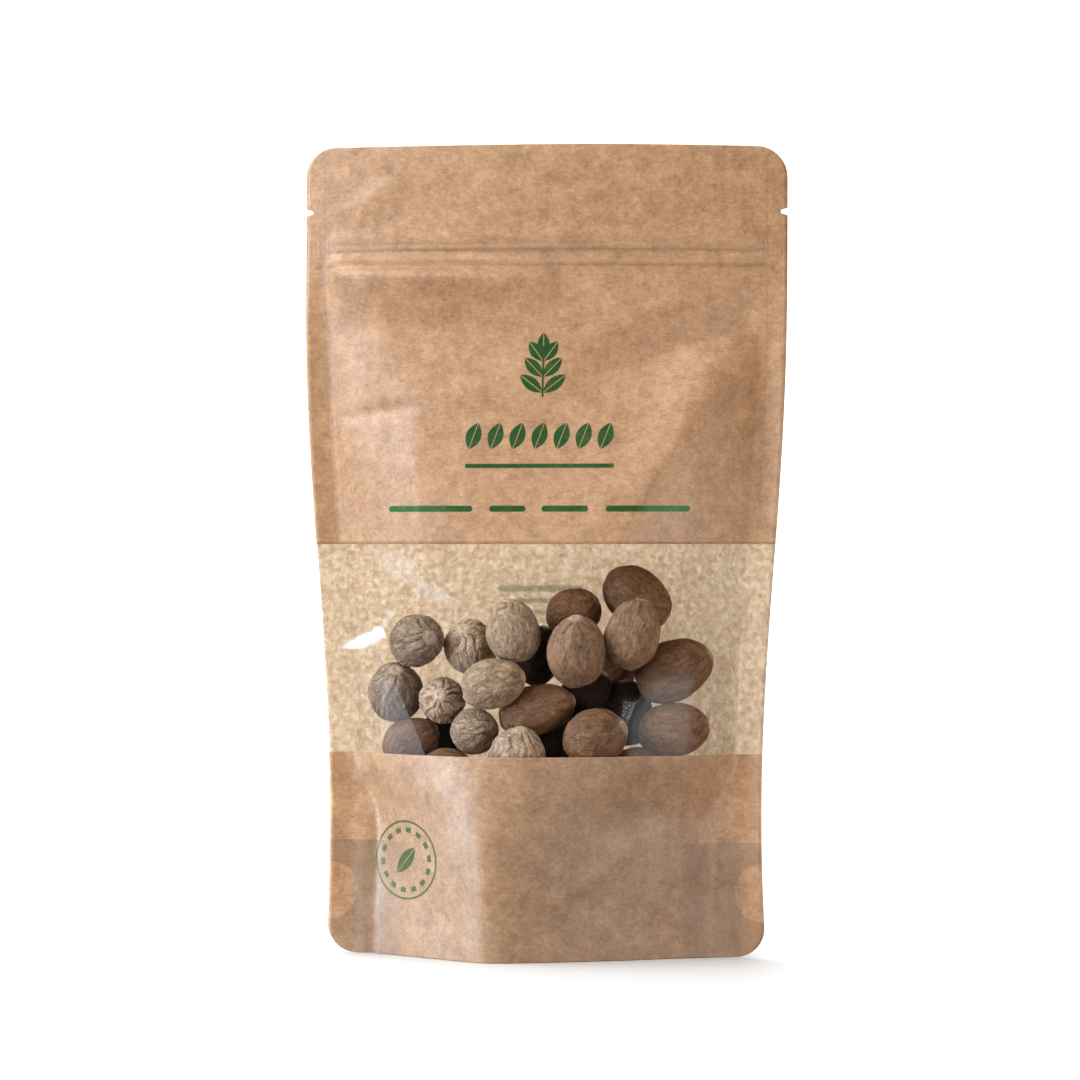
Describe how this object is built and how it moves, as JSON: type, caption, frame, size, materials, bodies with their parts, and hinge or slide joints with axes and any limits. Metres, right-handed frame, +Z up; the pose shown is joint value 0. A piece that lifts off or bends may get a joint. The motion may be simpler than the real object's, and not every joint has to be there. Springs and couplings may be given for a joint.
{
  "type": "stand-up pouch of whole nutmegs",
  "caption": "Sealed kraft paper stand-up pouch with press-to-close ridges, tear notches, a bottom gusset and a clear band showing whole nutmegs.",
  "frame": {"origin": "centre of the pouch's footprint, on the surface that it stands on", "axes": "+Z up along the pouch, +X to the right across its width seen from the front, and the front panel with the clear band faces -Y"},
  "size_m": [0.16, 0.0618, 0.267],
  "materials": {
    "kraft_paper": "matt brown kraft paper with long and short fibres, lined with clear film",
    "clear_film": "clear glossy packing film, slightly crumpled",
    "nutmeg_shell": "dry matt nutmeg seed with shallow net-like furrows"
  },
  "bodies": {
    "root": {"pouch": "kraft_paper", "window_film": "clear_film", "nutmegs": "nutmeg_shell"}
  },
  "joints": []
}
